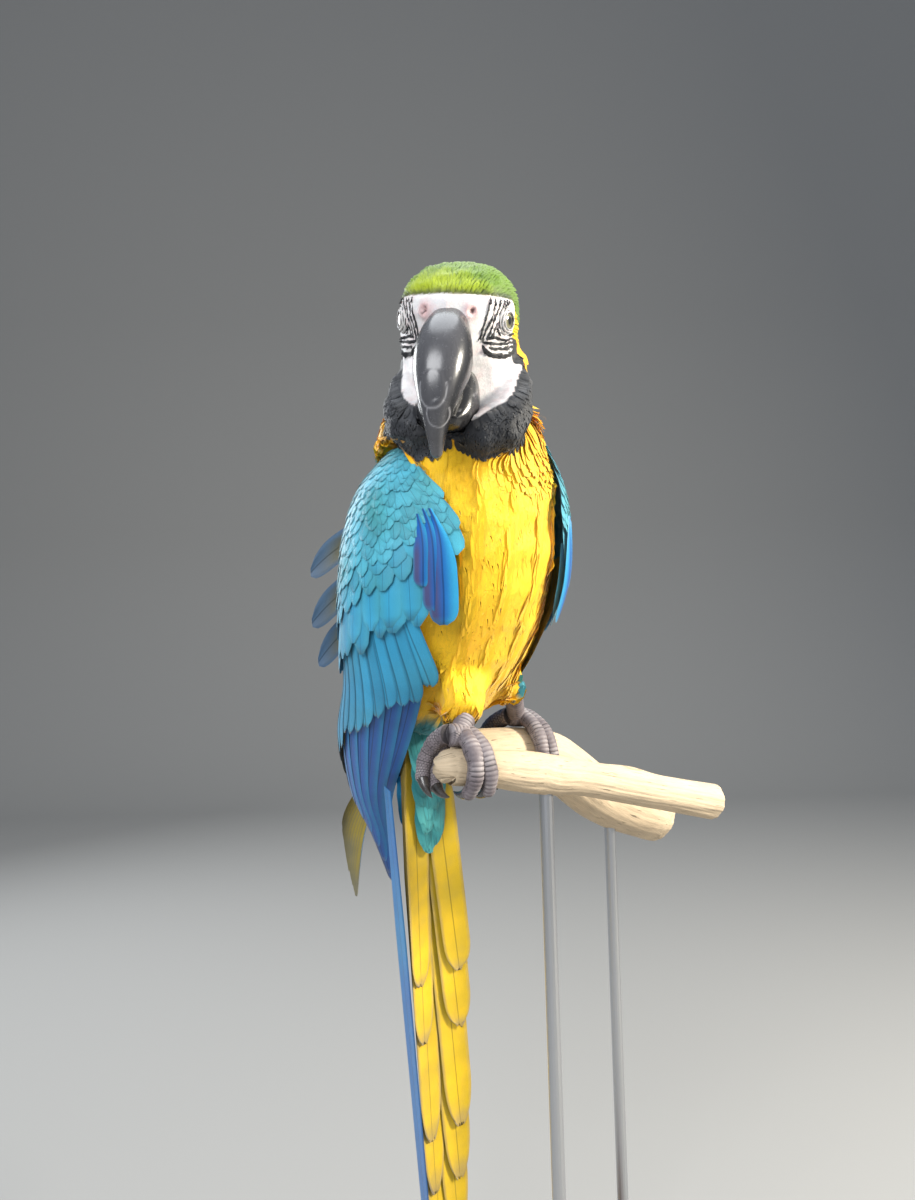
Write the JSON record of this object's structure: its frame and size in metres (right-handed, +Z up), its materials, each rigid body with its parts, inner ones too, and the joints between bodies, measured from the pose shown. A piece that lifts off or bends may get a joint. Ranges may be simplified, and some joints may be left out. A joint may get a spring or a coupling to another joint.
{
  "type": "blue-and-yellow macaw",
  "caption": "Life-size blue-and-yellow macaw, sitting upright on cut lengths of driftwood with its wings folded and tail hanging, held by a flat display stand with steel rods.",
  "frame": {"origin": "centre of the stand's underside, on the surface that it rests on", "axes": "+Z up; the bird's face looks towards -Y and its breast towards -Y and +X; the perch runs off towards +X and +Y"},
  "size_m": [0.3, 0.2913, 0.7463],
  "materials": {
    "crown_feathers": "soft lime-green feathers",
    "yellow_feathers": "soft golden-yellow feathers",
    "throat_feathers": "short black velvety feathers",
    "turquoise_feathers": "smooth turquoise wing feathers with darker edges",
    "blue_feathers": "smooth deep-blue flight feathers",
    "teal_feathers": "soft blue-green feathers",
    "tail_feathers": "tail feathers, yellow below and blue above",
    "horn": "polished black horn with grey growth lines",
    "eye": "wet pale iris round a dark pupil",
    "foot_skin": "dry grey beaded scales",
    "driftwood": "bare weathered pale wood",
    "stand_wood": "smooth pale painted wood",
    "stand_steel": "satin steel rod"
  },
  "bodies": {
    "root": {"head": "crown_feathers", "neck": "yellow_feathers", "trunk": "yellow_feathers", "left_thigh": "yellow_feathers", "right_thigh": "yellow_feathers", "throat": "throat_feathers", "upper_bill": "horn", "lower_bill": "horn", "left_eye": "eye", "right_eye": "eye", "left_wing_coverts": "turquoise_feathers", "left_secondaries": "turquoise_feathers", "left_primaries": "blue_feathers", "left_alula": "blue_feathers", "right_wing_coverts": "turquoise_feathers", "right_secondaries": "turquoise_feathers", "right_primaries": "blue_feathers", "right_alula": "blue_feathers", "left_tertial_1": "tail_feathers", "left_tertial_2": "tail_feathers", "left_tertial_3": "tail_feathers", "left_rectrix_1": "tail_feathers", "left_rectrix_2": "tail_feathers", "left_rectrix_3": "tail_feathers", "left_rectrix_4": "tail_feathers", "left_rectrix_5": "tail_feathers", "left_rectrix_6": "tail_feathers", "right_rectrix_1": "tail_feathers", "right_rectrix_2": "tail_feathers", "right_rectrix_3": "tail_feathers", "right_rectrix_4": "tail_feathers", "right_rectrix_5": "tail_feathers", "right_rectrix_6": "blue_feathers", "uppertail_coverts": "blue_feathers", "undertail_coverts": "teal_feathers", "tail_base": "teal_feathers", "left_foot": "foot_skin", "left_claw_1": "horn", "left_claw_2": "horn", "left_claw_3": "horn", "left_claw_4": "horn", "right_foot": "foot_skin", "right_claw_1": "horn", "right_claw_2": "horn", "right_claw_3": "horn", "right_claw_4": "horn", "perch_near_limb": "driftwood", "perch_far_limb": "driftwood", "stand_base": "stand_wood", "stand_rod_near": "stand_steel", "stand_rod_far": "stand_steel"}
  },
  "joints": []
}
